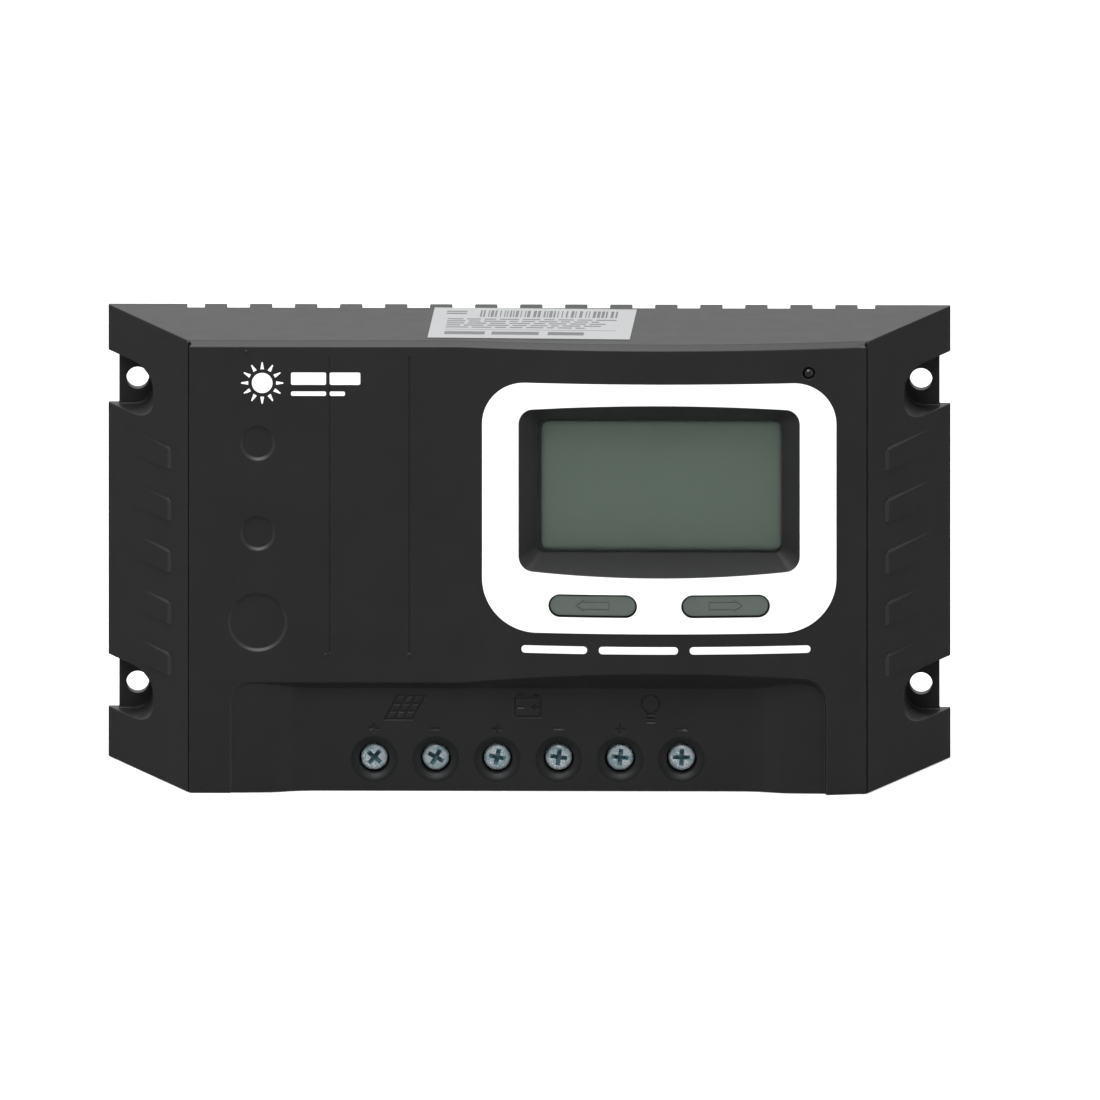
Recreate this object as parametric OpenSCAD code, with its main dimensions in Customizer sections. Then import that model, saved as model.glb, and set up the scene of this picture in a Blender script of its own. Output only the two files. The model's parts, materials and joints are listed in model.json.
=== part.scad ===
// Wall-mounted solar charge controller. A moulded front housing with a raised crown
// carries a recessed display and two buttons. Six rising-clamp terminals sit along
// the bottom edge, and an aluminium heat sink closes the back.
//
// Frame: millimetres, X to the right, Y into the wall (the wall is y = 0 and the
// front faces -Y), Z up. The origin is the centre of the four mounting holes.

/* [Housing] */
// Width over the wall flanges
housing_w = 187; // [184:0.5:190]
// Height of the housing
housing_h = 102.5; // [101:0.5:106]
// Distance from the wall to the flat front face
housing_d = 41; // [40.5:0.1:42]
// Width of the flat front face between its two creases
face_w = 150.4; // [148:0.2:152]
// Wall thickness
wall = 2.2; // [2:0.1:2.4]
// Chamfer along the top front edge
top_chamfer = 1.2; // [0.6:0.1:1.6]
// Height of the mounting hole centres above the middle of the housing
mount_rise = 0.5; // [0:0.1:1]

/* [Crown] */
// Sideways place of the crown's middle
crown_x = 29.2; // [28:0.1:30]
// Width of the crown
crown_w = 88; // [86:1:90]
// Height of the crown over the flat face
crown_h = 4.2; // [4:0.1:4.4]

/* [Display] */
// Width of the white surround
surround_w = 78.7; // [76:0.1:80]
// Height of the white surround
surround_h = 56.6; // [55:0.1:58]
// Thickness of the white surround
surround_t = 0.3; // [0.2:0.05:0.4]
// Height of the surround's middle over the housing's middle
surround_z = 14.15; // [13.5:0.05:15]
// Visible width of the display
lcd_view_w = 53.3; // [50:0.1:54]
// Visible height of the display
lcd_view_h = 29; // [26:0.1:29.2]
// Height of the display's middle over the housing's middle
lcd_z = 18; // [17.5:0.1:18.5]

/* [Buttons] */
// Width of a button cap
button_w = 19.1; // [16:0.1:20]
// Height of a button cap
button_h = 4.6; // [4:0.1:5]
// Gap around a button cap
button_gap = 0.3; // [0.2:0.05:0.4]
// Distance between the middles of the two buttons
button_spread = 29.5; // [26:0.5:32]
// Height of the buttons over the housing's middle
button_z = -7.9; // [-8.5:0.1:-7.5]
// Travel of a button
button_travel = 0.5; // [0.3:0.05:0.6]

/* [Terminals] */
// Distance from one terminal to the next
pole_pitch = 13.65; // [13.4:0.05:14]
// Depth of the terminal panel below the flat face
panel_recess = 2.7; // [2.4:0.1:2.8]
// Width of the terminal panel
panel_w = 131; // [128:0.5:134]
// Radius of a terminal screw's head
screw_head_r = 3; // [2.8:0.05:3.1]
// Radius of a terminal screw's thread
screw_r = 1.75; // [1.5:0.05:1.8]
// Travel of a wire clamp
clamp_travel = 3.2; // [2:0.1:3.2]

/* [Mounting] */
// Sideways distance between mounting holes
mount_w = 174; // [173.5:0.1:174.5]
// Upright distance between mounting holes
mount_h = 69; // [66:0.5:70]
// Radius of a mounting hole
mount_r = 2.5; // [2.2:0.05:2.7]

/* [Heat sink] */
// Width of the heat sink
sink_w = 171; // [166:0.5:172]
// Height of the heat sink
sink_h = 96; // [90:0.5:97]
// Thickness of the heat sink's base plate
sink_base = 3; // [2.5:0.1:3]
// Distance between cooling fins, and between the teeth of the rear edge
fin_pitch = 10; // [9.5:0.1:10]

/* [Hidden] */

// Facets of round surfaces: broad ones, ordinary ones and the corners inside a hull
round_fn = 96;
small_fn = 48;
hull_fn = 32;
// Overshoot that lets a cut run past a face
eps = 1;

// Depth of the upright rim at the outer edge, and the slope of a flank
rim_d = 1;
flank_run = (housing_w - face_w) / 2;
flank_drop = housing_d - rim_d;
wall_x = wall * sqrt(1 + pow(flank_run / flank_drop, 2));
half_h = housing_h / 2;
face_y = -housing_d;
inner_y = face_y + wall;

// Crown: a shallow cylinder about an upright axis
crown_r = (pow(crown_w / 2, 2) + pow(crown_h, 2)) / (2 * crown_h);
crown_axis_y = face_y - crown_h + crown_r;

// Terminal panel
panel_y = face_y + panel_recess;
panel_top_z = -27.96;
panel_corner_r = 5;
panel_slope = 0.68;
panel_side_slope = 0.2;
// Rise of the panel's floor towards its two ends, as pairs of sideways place and rise
panel_ramp = [[46, -0.1], [49, 0.12], [51, 0.35], [53, 0.85], [55, 1.5], [57, 1.95], [60, 2.15],
              [63, 2.3], [68, 2.4]];
panel_back_y = panel_y + wall;
poles = 6;
screw_z = -44;
screw_turns = [40, 30, 12, 8, 6, 2];
funnel_r = 5.2;
funnel_throat_r = 3.4;
funnel_d = 0.8;

// Display stack, from the floor of the recess to the front of the display board
recess_floor_y = -38.4;
recess_floor_w = 54.2;
recess_floor_h = 29.8;
recess_floor_r = 1.5;
recess_side_slope = 0.87;
recess_end_slope = 0.68;
recess_mouth_r = 4.2;
recess_reach = 7.6;
recess_boss_w = 71;
recess_boss_h = 44.4;
recess_boss_r = 5;
window_t = 1;
bezel_t = 0.4;
lcd_t = 2.6;
backlight_t = 1.8;
window_back_y = recess_floor_y + window_t;
bezel_back_y = window_back_y + bezel_t;
lcd_back_y = bezel_back_y + lcd_t;
display_board_y = lcd_back_y + backlight_t;
board_t = 1.6;
display_board_back_y = display_board_y + board_t;
display_board_w = 80;
display_board_h = 64.5;
display_board_z = 16.25;
display_boss_x = 36.5;
display_boss_z = [-11.5, 36];
display_boss_r = 2.8;
display_pilot_r = 1.05;
lcd_view_r = 1.8;
lcd_view_x = crown_x + 0.45;
lcd_w = 58;
lcd_h = 34;
window_w = 60;
window_h = 36;
backlight_h = 32;
pin_count = 16;
pin_pitch = 2.54;
pin_w = 0.5;
pin_row_w = pin_count * pin_pitch;
pin_z = lcd_h / 2 + 0.4;
surround_r_top = 9.6;
surround_r_bottom = 12;

// Status light
led_x = 62.4;
led_z = 44.6;
led_hole_r = 1.35;
led_r = 1.2;
led_tip_y = -41.8;
led_collar_y = -38.4;
led_collar_back_y = -37.6;

// Button and switch stack
button_sunk = 0.2;
arrow_w = 0.25;
arrow_d = 0.15;
button_flange_y = -41.3;
button_flange_t = 1;
button_stem_r = 1.5;
switch_h = 3.5;
switch_side = 6;
switch_front_y = display_board_y - switch_h;
plunger_r = 1.75;
plunger_gap = 0.06;
plunger_proud = 0.9;
plunger_in = 1.2;
plunger_well_d = plunger_in + button_travel + 0.2;

// Terminal stack, from the screw head to the back of the block
head_front_y = -36.2;
head_t = 1.8;
head_back_y = head_front_y + head_t;
cell_front_y = head_back_y + 1;
thread_gap = 0.1;
contact_y = -27.6;
contact_t = 1;
contact_w = 6.6;
clamp_front_y = cell_front_y + 0.2 + clamp_travel;
clamp_plate_t = 2.2;
clamp_back_y = -20.8;
clamp_rear_t = 1.2;
clamp_w = 9.4;
clamp_window_w = 7;
clamp_low_z = -47.4;
clamp_high_z = -40.6;
cell_w = 10;
cell_back_y = -20.6;
cell_low_z = -48.2;
cell_high_z = -39;
block_w = poles * pole_pitch + 1;
block_front_y = panel_back_y;
block_low_z = -49;
block_high_z = -37.8;
entry_w = 6.8;
entry_front_y = -26.5;
entry_back_y = -22.1;
entry_hole_w = 9.6;
entry_hole_d = 7.6;
entry_hole_r = 1.4;

// Main board
main_board_y = -20;
main_board_back_y = main_board_y + board_t;
main_board_w = 132;
main_board_low_z = -48.6;
main_board_high_z = 47;
spacer_x = 60;
spacer_z = [-40, 42];
small_cans = [[-56, 30], [-56, 16], [-36, 2]];
chips = [[-58, -8], [-40, -16], [-20, -16], [58, -20]];
shunt_x = [-27.3, 13.65];
shunt_z = [-29, -25];
diode_x = [-6, 36];
diode_z = -30;
sensor_x = -60;
sensor_z = -28;
header_x = crown_x - 10;
header_z = -11;
header_w = 20.4;
header_h = 5;
header_split_y = main_board_y - 8.5;

// Heat sink
sink_y = -10.5;
sink_back_y = sink_y + sink_base;
fin_end_y = -1;
fin_t = 1.6;
fin_count = 15;
tooth_w = 5;
tooth_shift = 0.4;
tooth_gap_w = 152.7;
notch_d = 4;
pad_t = 0.3;
fet_t = 4.5;
fet_x = [-46, -16, 14, 44];
fet_z = 14;
fet_hole_z = fet_z - 7.6;
housing_boss_x = 71.5;
housing_boss_z = 42.5;
housing_boss_r = 3.6;
housing_pilot_r = 1.5;

// Mounting wells in the flanks
well_in_x = 83.4;
well_half_h = 5.9;
well_r = 4.5;
well_wall = 2;
flange_t = 3;
flange_inset = 2.4;
well_len = 30;

// Small relief of the housing
groove_x = [-44, -26.3];
groove_low_z = -19.4;
groove_high_z = 47.8;
groove_w = 0.5;
groove_d = 0.25;
disc_x = -60;
discs = [[28.1, 3.9], [7.7, 3.9], [-12.5, 6.6]];
disc_d = 0.5;
disc_slant = 0.55;
pip_r = 0.35;
pip_h = 0.35;
pips = [[-62.6, 48.9], [-44.9, -19.85], [-26.4, -19.85]];
rib_count = 5;
rib_pitch = 11.7;
rib_top_z = 25.4;
rib_in_x = 79.3;
rib_out_x = 89.6;
rib_h = 5;
rib_drop = 0.7;
rib_slant = 1;
rib_corner_r = 1.2;
rib_proud = 1.3;
rib_lead = 0.8;
crease_w = 0.75;
engrave_d = 0.35;
stroke = 0.55;
icon_z = -32.3;
mark_z = -37.1;

// Rating label on the top face
label_at = [0.8, -21.6];
label_w = 45;
label_d = 32.4;
label_t = 0.15;
label_turn = -2.3;

// Half width of the housing at depth y, outside
function flank_x(y) = housing_w / 2 - (-y - rim_d) / flank_drop * flank_run;
// Depth of a flank's surface at sideways place x
function flank_y(x) = -rim_d - (housing_w / 2 - x) / flank_run * flank_drop;
// Sideways place of terminal i, counted from 1 at the left
function pole_x(i) = (i - (poles + 1) / 2) * pole_pitch;
// Depth of the crown's surface at sideways place x
function crown_y(x) = crown_axis_y - sqrt(pow(crown_r, 2) - pow(x - crown_x, 2));

// Coordinates below are measured from the middle of the housing
module at_body() {
    translate([0, 0, -mount_rise]) children();
}

// A flat outline in X and Z, given depth from y_front to y_back
module slab(y_front, y_back) {
    translate([0, y_back, 0])
        rotate([90, 0, 0])
            linear_extrude(y_back - y_front) children();
}

// A round rod along Y
module rod(x, z, r, y_front, y_back, fn = small_fn) {
    translate([x, y_back, z])
        rotate([90, 0, 0])
            cylinder(r = r, h = y_back - y_front, $fn = fn);
}

// A box between two corners
module block(low, high) {
    translate(low) cube(high - low);
}

// Outline of a rectangle with one radius at the top and another at the bottom
module rounded_rect(w, h, r_top, r_bottom, fn = small_fn) {
    for (side = [-1, 1]) {
        translate([side * (w / 2 - r_top), h / 2 - r_top]) circle(r = r_top, $fn = fn);
        translate([side * (w / 2 - r_bottom), r_bottom - h / 2]) circle(r = r_bottom, $fn = fn);
    }
    polygon([
        [-w / 2, r_bottom - h / 2], [r_bottom - w / 2, -h / 2],
        [w / 2 - r_bottom, -h / 2], [w / 2, r_bottom - h / 2],
        [w / 2, h / 2 - r_top], [w / 2 - r_top, h / 2],
        [r_top - w / 2, h / 2], [-w / 2, h / 2 - r_top]
    ]);
}

// Outline of a slot with round ends
module pill(w, h) {
    square([w - h, h], center = true);
    for (side = [-1, 1])
        translate([side * (w - h) / 2, 0]) circle(r = h / 2, $fn = small_fn);
}

// A straight stroke of an engraved sign
module line2d(a, b, w = stroke) {
    translate(a)
        rotate(atan2(b[1] - a[1], b[0] - a[0]))
            translate([-w / 2, -w / 2])
                square([norm(b - a) + w, w]);
}

// The outline of a closed figure, drawn in strokes
module outline2d(points, w) {
    for (k = [0 : len(points) - 1])
        line2d(points[k], points[(k + 1) % len(points)], w);
}

// Both sides of the housing
module both_sides() {
    children();
    mirror([1, 0, 0]) children();
}

// ---- Front housing ----

module crown(r, chamfer, low_z, high_z, half_w) {
    intersection() {
        translate([crown_x, crown_axis_y, low_z]) {
            cylinder(r = r, h = high_z - low_z - chamfer, $fn = round_fn * 4);
            translate([0, 0, high_z - low_z - chamfer])
                cylinder(r1 = r, r2 = r - chamfer, h = chamfer, $fn = round_fn * 4);
        }
        block([crown_x - half_w, face_y - crown_h - eps, low_z],
              [crown_x + half_w, inner_y + 0.4, high_z]);
    }
}

module flat_body() {
    intersection() {
        translate([0, 0, -half_h])
            linear_extrude(housing_h)
                polygon([
                    [-housing_w / 2, 0], [-housing_w / 2, -rim_d], [-face_w / 2, face_y],
                    [face_w / 2, face_y], [housing_w / 2, -rim_d], [housing_w / 2, 0]
                ]);
        translate([-housing_w, 0, 0])
            rotate([90, 0, 90])
                linear_extrude(2 * housing_w)
                    polygon([
                        [0, -half_h], [face_y, -half_h], [face_y, half_h - top_chamfer],
                        [face_y + top_chamfer, half_h], [0, half_h]
                    ]);
    }
}

module outer_body() {
    flat_body();
    crown(crown_r, top_chamfer, -half_h, half_h, crown_w / 2);
}

module inner_prism(y_front, low_z, high_z) {
    translate([0, 0, low_z])
        linear_extrude(high_z - low_z)
            polygon([
                [-flank_x(0) + wall_x, eps], [-flank_x(y_front) + wall_x, y_front],
                [flank_x(y_front) - wall_x, y_front], [flank_x(0) - wall_x, eps]
            ]);
}

module electronics_space() {
    inner_prism(panel_back_y, wall - half_h, half_h - wall);
    inner_prism(inner_y, panel_top_z + wall + 1.2, half_h - wall);
    crown(crown_r - wall, 0, panel_top_z + 8, half_h - wall, crown_w / 2 - 6);
}

module well_outline(grow) {
    translate([well_in_x - grow + well_len / 2 + grow, 0])
        rounded_rect(well_len + 2 * grow, 2 * (well_half_h + grow), well_r + grow, well_r + grow);
}

module at_wells() {
    for (side = [-1, 1])
        translate([0, 0, mount_rise + side * mount_h / 2]) children();
}

module recess_block() {
    slab(face_y - crown_h - eps, recess_floor_y)
        translate([crown_x, lcd_z])
            rounded_rect(recess_boss_w, recess_boss_h, recess_boss_r, recess_boss_r);
}

module display_recess() {
    grow_w = 2 * recess_side_slope * recess_reach;
    grow_h = 2 * recess_end_slope * recess_reach;
    mouth_y = recess_floor_y - recess_reach;
    translate([crown_x, 0, lcd_z])
        hull() {
            slab(recess_floor_y, recess_floor_y + 0.02)
                rounded_rect(recess_floor_w, recess_floor_h, recess_floor_r, recess_floor_r, hull_fn);
            slab(mouth_y - 0.02, mouth_y)
                rounded_rect(recess_floor_w + grow_w, recess_floor_h + grow_h,
                             recess_mouth_r, recess_mouth_r, hull_fn);
        }
}

module panel_layer(y, grow) {
    top = panel_top_z + grow * panel_slope;
    half_w = panel_w / 2 + grow * panel_side_slope;
    slab(y - 0.02, y) {
        for (side = [-1, 1])
            translate([side * (half_w - panel_corner_r), top - panel_corner_r])
                circle(r = panel_corner_r, $fn = hull_fn);
        translate([-half_w, -half_h - 4]) square([2 * half_w, 4]);
    }
}

module panel_cut() {
    reach = panel_recess + crown_h + eps;
    ends = len(panel_ramp) - 1;
    intersection() {
        hull() {
            panel_layer(panel_y, 0);
            panel_layer(panel_y - reach, reach);
        }
        translate([0, 0, -half_h - 5])
            linear_extrude(half_h)
                polygon(concat(
                    [for (p = panel_ramp) [p[0], panel_y - p[1]]],
                    [[panel_w, panel_y - 2 * reach], [-panel_w, panel_y - 2 * reach]],
                    [for (k = [ends : -1 : 0]) [-panel_ramp[k][0], panel_y - panel_ramp[k][1]]]
                ));
    }
}

module button_slots() {
    slab(face_y - crown_h - eps, inner_y + 2)
        for (side = [-1, 1])
            translate([crown_x + side * button_spread / 2, button_z])
                pill(button_w + 2 * button_gap, button_h + 2 * button_gap);
}

module rib(top_z) {
    corner = [rib_in_x + rib_corner_r, top_z - rib_corner_r];
    intersection() {
        translate([0, 0, top_z - rib_h - rib_drop - eps])
            linear_extrude(rib_h + rib_drop + 2 * eps)
                polygon([
                    [rib_in_x, flank_y(rib_in_x)],
                    [rib_in_x + rib_lead, flank_y(rib_in_x + rib_lead) - rib_proud],
                    [rib_out_x, flank_y(rib_out_x)],
                    [rib_out_x, flank_y(rib_out_x) + eps], [rib_in_x, flank_y(rib_in_x) + eps]
                ]);
        slab(face_y, 0)
            polygon(concat(
                [[rib_in_x, top_z - rib_h], [rib_out_x, top_z - rib_h - rib_drop],
                 [rib_out_x, top_z]],
                [for (a = [90 : 15 : 180]) corner + rib_corner_r * [cos(a), sin(a)]]
            ));
        translate([rib_in_x, flank_y(rib_in_x), top_z])
            rotate([0, 0, atan2(flank_drop, flank_run)])
                rotate([90, 0, 90])
                    translate([0, 0, -flank_drop / 2])
                        linear_extrude(2 * flank_drop)
                            polygon([
                                [eps, rib_slant * eps], [-2 * eps, -2 * rib_slant * eps],
                                [-2 * eps, -2 * rib_h], [eps, -2 * rib_h]
                            ]);
    }
}

module rear_notches() {
    for (side = [-1, 1])
        difference() {
            block([tooth_shift - tooth_gap_w / 2, -notch_d, side * half_h - wall - eps],
                  [tooth_shift + tooth_gap_w / 2, eps, side * half_h + wall + eps]);
            for (i = [0 : fin_count - 1]) {
                x = (i - (fin_count - 1) / 2) * fin_pitch + tooth_shift;
                block([x - tooth_w / 2, -notch_d - eps, side * half_h - wall - 2 * eps],
                      [x + tooth_w / 2, 2 * eps, side * half_h + wall + 2 * eps]);
            }
        }
}

module wire_entries() {
    for (i = [1 : poles])
        translate([pole_x(i), (entry_front_y + entry_back_y) / 2, -half_h - eps])
            linear_extrude(wall + 2 * eps)
                rounded_rect(entry_hole_w, entry_hole_d, entry_hole_r, entry_hole_r);
}

module funnels() {
    for (i = [1 : poles])
        translate([pole_x(i), panel_y, screw_z])
            rotate([-90, 0, 0]) {
                cylinder(r1 = funnel_r, r2 = funnel_throat_r, h = funnel_d, $fn = small_fn);
                translate([0, 0, -eps]) cylinder(r = funnel_r, h = eps, $fn = small_fn);
                translate([0, 0, funnel_d])
                    cylinder(r = funnel_throat_r, h = wall - funnel_d + eps, $fn = small_fn);
            }
}

module polarity_marks() {
    for (i = [1 : poles])
        translate([pole_x(i), mark_z]) {
            line2d([-0.9, 0], [0.9, 0]);
            if (i % 2 == 1) line2d([0, -0.9], [0, 0.9]);
        }
}

// A tilted solar module, a battery and a lamp over their terminal pairs
module pictograms() {
    translate([2 * pole_pitch * -1, icon_z]) {
        lean = 1.4;
        for (k = [0 : 3]) {
            line2d([k * 2 - 3 - lean, -2.6], [k * 2 - 3 + lean, 2.6]);
            line2d([-3 - lean + k * 2 * lean / 3, k * 5.2 / 3 - 2.6],
                   [3 - lean + k * 2 * lean / 3, k * 5.2 / 3 - 2.6]);
        }
    }
    translate([0, icon_z]) {
        difference() {
            square([6.2, 4.8], center = true);
            square([6.2 - 2 * stroke, 4.8 - 2 * stroke], center = true);
        }
        for (side = [-1, 1]) {
            line2d([side * 1.8 - 0.5, 2.8], [side * 1.8 + 0.5, 2.8]);
            line2d([side * 1.6 - 0.5, 0], [side * 1.6 + 0.5, 0]);
        }
        line2d([1.6, -0.5], [1.6, 0.5]);
    }
    translate([2 * pole_pitch, icon_z]) {
        difference() {
            translate([0, 0.9]) circle(r = 2.3, $fn = small_fn);
            translate([0, 0.9]) circle(r = 2.3 - stroke, $fn = small_fn);
            translate([-0.8, -3]) square([1.6, 2.6]);
        }
        for (k = [0 : 2]) line2d([-0.7, -1.5 - k * 0.9], [0.7, -1.5 - k * 0.9]);
    }
}

module surface_relief() {
    for (x = groove_x)
        block([x - groove_w / 2, face_y - eps, groove_low_z],
              [x + groove_w / 2, face_y + groove_d, groove_high_z]);
    for (d = discs)
        translate([disc_x, face_y, d[0]])
            rotate([-90, 0, 0])
                translate([0, 0, -eps])
                    cylinder(r1 = d[1] + disc_slant * eps / disc_d, r2 = d[1] - disc_slant,
                             h = eps + disc_d, $fn = round_fn);
    both_sides()
        translate([face_w / 2, face_y, -half_h - eps])
            rotate(45) cube([crease_w, crease_w, housing_h + 2 * eps]);
    slab(panel_y - eps, panel_y + engrave_d) {
        polarity_marks();
        pictograms();
    }
}

module housing_bosses() {
    both_sides()
        for (side = [-1, 1])
            rod(housing_boss_x, side * housing_boss_z, housing_boss_r, inner_y - 0.5, sink_y);
    for (side = [-1, 1])
        for (z = display_boss_z)
            rod(crown_x + side * display_boss_x, z, display_boss_r, inner_y - 0.5, display_board_y);
}

module boss_pilots() {
    both_sides()
        for (side = [-1, 1])
            rod(housing_boss_x, side * housing_boss_z, housing_pilot_r, -24, sink_y + eps);
    for (side = [-1, 1])
        for (z = display_boss_z)
            rod(crown_x + side * display_boss_x, z, display_pilot_r,
                display_board_y - 5, display_board_y + eps);
}

module front_housing() {
    color([0.17, 0.17, 0.18])
        at_body()
            difference() {
                union() {
                    difference() {
                        outer_body();
                        electronics_space();
                    }
                    intersection() {
                        outer_body();
                        union() {
                            both_sides() at_wells() slab(face_y, 0) well_outline(well_wall);
                            recess_block();
                            housing_bosses();
                        }
                    }
                    both_sides()
                        for (k = [0 : rib_count - 1]) rib(rib_top_z - k * rib_pitch);
                    for (p = pips) rod(p[0], p[1], pip_r, face_y - pip_h, face_y + pip_h);
                }
                both_sides()
                    at_wells() {
                        slab(face_y - eps, -flange_t) well_outline(0);
                        block([housing_w / 2 - flange_inset, -flange_t - eps, -well_half_h],
                              [housing_w / 2 + eps, eps, well_half_h]);
                        rod(mount_w / 2, 0, mount_r, -flange_t - eps, eps);
                    }
                panel_cut();
                display_recess();
                button_slots();
                rod(led_x, led_z, led_hole_r, face_y - crown_h - eps, inner_y + eps);
                rear_notches();
                wire_entries();
                funnels();
                surface_relief();
                boss_pilots();
            }
}

// ---- Display ----

module display_surround() {
    color("white")
        at_body()
            difference() {
                intersection() {
                    translate([crown_x, crown_axis_y, surround_z - surround_h / 2 - eps])
                        difference() {
                            cylinder(r = crown_r + surround_t, h = surround_h + 2 * eps,
                                     $fn = round_fn * 4);
                            translate([0, 0, -eps])
                                cylinder(r = crown_r, h = surround_h + 4 * eps, $fn = round_fn * 4);
                        }
                    slab(face_y - crown_h - eps, face_y + eps)
                        translate([crown_x, surround_z])
                            rounded_rect(surround_w, surround_h, surround_r_top, surround_r_bottom);
                }
                display_recess();
                button_slots();
            }
}

module display_window() {
    color([0.8, 0.85, 0.85, 0.4])
        at_body()
            slab(recess_floor_y, window_back_y)
                translate([crown_x, lcd_z]) rounded_rect(window_w, window_h, 1, 1);
}

module lcd_bezel() {
    color([0.1, 0.1, 0.1])
        at_body()
            slab(window_back_y, bezel_back_y)
                translate([crown_x, lcd_z])
                    difference() {
                        square([window_w, window_h], center = true);
                        translate([lcd_view_x - crown_x, 0])
                            rounded_rect(lcd_view_w, lcd_view_h, lcd_view_r, lcd_view_r);
                    }
}

module lcd_panel() {
    color([0.34, 0.39, 0.36])
        at_body()
            block([crown_x - lcd_w / 2, bezel_back_y, lcd_z - lcd_h / 2],
                  [crown_x + lcd_w / 2, lcd_back_y, lcd_z + lcd_h / 2]);
}

module lcd_pins() {
    color("silver")
        at_body()
            for (turn = [0, 180])
                translate([crown_x, 0, lcd_z])
                    rotate([0, turn, 0])
                        for (k = [0 : pin_count - 1])
                            translate([(k - (pin_count - 1) / 2) * pin_pitch, 0, pin_z]) {
                                block([-pin_w / 2, bezel_back_y + 0.6, -pin_w / 2],
                                      [pin_w / 2, display_board_back_y + 1, pin_w / 2]);
                                block([-pin_w / 2, bezel_back_y + 0.6, -0.4],
                                      [pin_w / 2, bezel_back_y + 1.6, 0]);
                            }
}

module backlight() {
    color("ivory")
        at_body()
            block([crown_x - lcd_w / 2, lcd_back_y, lcd_z - backlight_h / 2],
                  [crown_x + lcd_w / 2, display_board_y, lcd_z + backlight_h / 2]);
}

module display_board() {
    color("seagreen")
        at_body()
            difference() {
                slab(display_board_y, display_board_back_y)
                    translate([crown_x, display_board_z])
                        square([display_board_w, display_board_h], center = true);
                for (side = [-1, 1]) {
                    for (z = display_boss_z)
                        rod(crown_x + side * display_boss_x, z, 1.4,
                            display_board_y - eps, display_board_back_y + eps);
                    translate([crown_x, 0, lcd_z + side * pin_z])
                        block([-pin_row_w / 2, display_board_y - eps, -0.35],
                              [pin_row_w / 2, display_board_back_y + eps, 0.35]);
                }
                rod(housing_boss_x, housing_boss_z, housing_boss_r + 0.5,
                    display_board_y - eps, display_board_back_y + eps);
            }
}

module pan_screw(x, z, head_r, head_h, r, y_tip, y_seat) {
    difference() {
        union() {
            rod(x, z, r, y_tip, y_seat + 0.1);
            rod(x, z, head_r, y_seat, y_seat + head_h);
        }
        for (turn = [0, 90])
            translate([x, y_seat + head_h, z])
                rotate([0, turn, 0])
                    cube([head_r * 1.1, head_h, head_r * 0.28], center = true);
    }
}

module display_screws() {
    color("silver")
        at_body()
            for (side = [-1, 1])
                for (z = display_boss_z)
                    pan_screw(crown_x + side * display_boss_x, z, 2.2, 1.5, 1,
                              display_board_y - 4, display_board_back_y);
}

module microcontroller() {
    color([0.12, 0.12, 0.12])
        at_body()
            translate([crown_x, display_board_back_y, lcd_z + 2]) {
                block([-6, 0.15, -6], [6, 1.6, 6]);
                for (side = [-1, 1])
                    for (k = [0 : 10]) {
                        block([k - 5.2, 0, side * 6.6 - 0.6], [k - 4.8, 0.4, side * 6.6 + 0.6]);
                        block([side * 6.6 - 0.6, 0, k - 5.2], [side * 6.6 + 0.6, 0.4, k - 4.8]);
                    }
            }
}

module status_led() {
    color([0.55, 0.6, 0.5])
        at_body() {
            translate([led_x, led_tip_y, led_z]) sphere(r = led_r, $fn = small_fn);
            rod(led_x, led_z, led_r, led_tip_y, led_collar_y);
            rod(led_x, led_z, led_r + 0.5, led_collar_y, led_collar_back_y);
            for (side = [-1, 1])
                block([led_x + side * 0.8 - 0.22, led_collar_back_y - 0.2, led_z - 0.22],
                      [led_x + side * 0.8 + 0.22, display_board_y, led_z + 0.22]);
        }
}

// ---- Buttons ----

module switch_bodies() {
    color([0.15, 0.15, 0.15])
        at_body()
            for (side = [-1, 1])
                difference() {
                    translate([crown_x + side * button_spread / 2, 0, button_z])
                        block([-switch_side / 2, switch_front_y, -switch_side / 2],
                              [switch_side / 2, display_board_y, switch_side / 2]);
                    rod(crown_x + side * button_spread / 2, button_z, plunger_r + plunger_gap,
                        switch_front_y - eps, switch_front_y + plunger_well_d);
                }
}

module plunger(side) {
    color([0.2, 0.2, 0.2])
        at_body()
            rod(crown_x + side * button_spread / 2, button_z, plunger_r,
                switch_front_y - plunger_proud, switch_front_y + plunger_in);
}

// The solid behind a face that runs parallel to the crown, sunk below it by depth
module under_crown(depth) {
    translate([crown_x, crown_axis_y, -half_h])
        cylinder(r = crown_r - depth, h = housing_h, $fn = round_fn * 4);
}

module arrow_sign(side) {
    points = [[3.7, 0], [1.9, 1.3], [1.9, 0.85], [-3.6, 0.85], [-3.6, -0.85], [1.9, -0.85],
              [1.9, -1.3]];
    outline2d([for (p = points) [side * p[0], p[1]]], arrow_w);
}

module button(side) {
    x = crown_x + side * button_spread / 2;
    color([0.38, 0.42, 0.4])
        at_body() {
            difference() {
                intersection() {
                    slab(face_y - crown_h, button_flange_y + 0.1)
                        translate([x, button_z]) pill(button_w, button_h);
                    under_crown(button_sunk);
                }
                difference() {
                    slab(face_y - crown_h - eps, button_flange_y - eps)
                        translate([x, button_z]) arrow_sign(side);
                    under_crown(button_sunk + arrow_d);
                }
            }
            slab(button_flange_y, button_flange_y + button_flange_t)
                translate([x, button_z]) pill(button_w + 2.6, button_h + 2.2);
            rod(x, button_z, button_stem_r, button_flange_y, switch_front_y - plunger_proud);
        }
}

module left_button() {
    button(-1);
}

module right_button() {
    button(1);
}

module left_plunger() {
    plunger(-1);
}

module right_plunger() {
    plunger(1);
}

// ---- Terminals ----

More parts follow.
